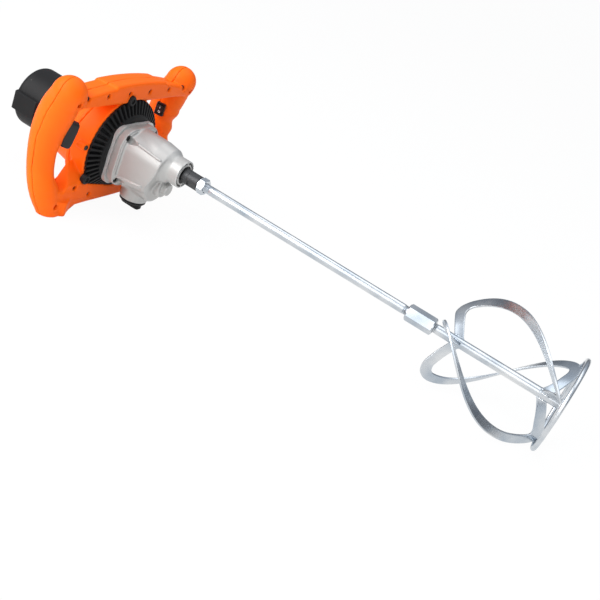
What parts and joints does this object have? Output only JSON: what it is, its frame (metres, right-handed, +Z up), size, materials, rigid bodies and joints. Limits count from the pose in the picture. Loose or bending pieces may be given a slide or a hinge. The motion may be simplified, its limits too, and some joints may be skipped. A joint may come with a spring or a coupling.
{
  "type": "mixing drill",
  "caption": "Two-handed mixing drill with an orange grip frame, black motor cap, cast gear housing and a long rod carrying a spiral mixing paddle with a bottom ring.",
  "frame": {"origin": "floor point under the middle of the tool as it lies on its two feet and its paddle", "axes": "+X along the tool's length towards the paddle, +Y towards the right grip, +Z up from the floor"},
  "size_m": [0.9138, 0.317, 0.2071],
  "materials": {
    "orange_plastic": "lightly textured moulding",
    "black_plastic": "textured moulding",
    "switch_plastic": "semi-gloss moulding",
    "cast_aluminium": "satin die casting",
    "zinc_steel": "bright zinc plating with a blue tint",
    "black_steel": "blackened steel",
    "gear_steel": "ground and oiled",
    "bearing_steel": "polished",
    "screw_steel": "blackened screws",
    "bronze": "sintered bronze",
    "copper": "enamelled copper",
    "lamination": "stacked sheet",
    "rubber": "moulded lip",
    "carbon": "pressed carbon"
  },
  "bodies": {
    "drill_body": {"spindle_seal": "rubber", "spindle_front_bearing": "bearing_steel", "spindle_rear_bush": "bronze", "lay_bushes": "bronze", "intermediate_bushes": "bronze", "gear_housing": "cast_aluminium", "gear_plate": "cast_aluminium", "flange_screws": "screw_steel", "motor_end_shield": "cast_aluminium", "motor_front_bearing": "bearing_steel", "motor_rear_bearing": "bearing_steel", "stator_core": "lamination", "field_coils": "copper", "motor_sleeve": "black_plastic", "brush_holders": "black_plastic", "carbon_brushes": "carbon", "brush_springs": "bearing_steel", "motor_cap": "black_plastic", "cap_screws": "screw_steel", "vent_housing": "black_plastic", "vent_screws": "screw_steel", "frame_front": "orange_plastic", "frame_rear": "orange_plastic", "frame_screws": "screw_steel", "trigger_switch": "black_plastic", "trigger_spring": "bearing_steel", "rocker_bezel": "switch_plastic", "speed_module": "black_plastic", "cord_gland": "rubber"},
    "spindle": {"spindle": "black_steel", "spindle_low_gear": "gear_steel", "spindle_high_gear": "gear_steel", "lock_nut": "zinc_steel", "paddle_rod": "zinc_steel", "paddle_coupling": "zinc_steel", "paddle_lower_rod": "zinc_steel", "paddle_ring": "zinc_steel", "mixing_blade_1": "zinc_steel", "mixing_blade_2": "zinc_steel", "mixing_blade_3": "zinc_steel"},
    "lay_shaft": {"lay_shaft": "gear_steel", "lay_low_pinion": "gear_steel", "lay_gear": "gear_steel"},
    "high_pinion": {"lay_high_pinion": "gear_steel"},
    "intermediate_shaft": {"intermediate_shaft": "gear_steel", "intermediate_gear": "gear_steel", "intermediate_pinion": "gear_steel"},
    "armature": {"motor_shaft": "gear_steel", "motor_pinion": "gear_steel", "armature_core": "lamination", "armature_windings": "copper", "commutator": "copper", "cooling_fan": "black_plastic"},
    "shift_collar": {"shift_collar": "gear_steel"},
    "gear_knob": {"gear_knob": "black_plastic", "selector_pin": "gear_steel"},
    "trigger": {"trigger": "switch_plastic"},
    "rocker": {"rocker_button": "switch_plastic"}
  },
  "joints": [
    {"name": "spindle_spin", "type": "hinge", "parent": "drill_body", "child": "spindle", "pos_m": [-0.16478, 0, 0.10112], "axis": [0.9991, 0, -0.0423], "continuous": true},
    {"name": "lay_spin", "type": "hinge", "parent": "drill_body", "child": "lay_shaft", "pos_m": [-0.24637, 0.008, 0.06535], "axis": [0.9991, 0, -0.0423], "continuous": true},
    {"name": "high_pinion_spin", "type": "hinge", "parent": "drill_body", "child": "high_pinion", "pos_m": [-0.22838, 0.008, 0.06459], "axis": [0.9991, 0, -0.0423], "continuous": true},
    {"name": "intermediate_spin", "type": "hinge", "parent": "drill_body", "child": "intermediate_shaft", "pos_m": [-0.26597, -0.01746, 0.07519], "axis": [0.9991, 0, -0.0423], "continuous": true},
    {"name": "armature_spin", "type": "hinge", "parent": "drill_body", "child": "armature", "pos_m": [-0.34529, 0, 0.09276], "axis": [0.9991, 0, -0.0423], "continuous": true},
    {"name": "knob_turn", "type": "hinge", "parent": "drill_body", "child": "gear_knob", "pos_m": [-0.2419, 0.008, 0.02432], "axis": [0.0423, 0, 0.9991], "range_deg": [0, 180]},
    {"name": "collar_slide", "type": "slide", "parent": "lay_shaft", "child": "shift_collar", "axis": [0.9991, 0, -0.0423], "range_m": [0, 0.006]},
    {"name": "trigger_press", "type": "slide", "parent": "drill_body", "child": "trigger", "axis": [-0.6685, -0.7431, 0.0283], "range_m": [0, 0.006], "stiffness_N_per_m": 700, "springref_m": -0.004},
    {"name": "rocker_tilt", "type": "hinge", "parent": "drill_body", "child": "rocker", "pos_m": [-0.30303, 0.11468, 0.132], "axis": [-0.9694, -0.2419, 0.0411], "range_deg": [0, 24]}
  ],
  "couplings": [
    {"joint": "lay_spin", "follows": "spindle_spin", "ratio": -1.6667},
    {"joint": "high_pinion_spin", "follows": "spindle_spin", "ratio": -0.81818},
    {"joint": "intermediate_spin", "follows": "spindle_spin", "ratio": 5},
    {"joint": "armature_spin", "follows": "spindle_spin", "ratio": -15},
    {"joint": "collar_slide", "follows": "knob_turn", "m_per_rad": 0.0019099}
  ]
}
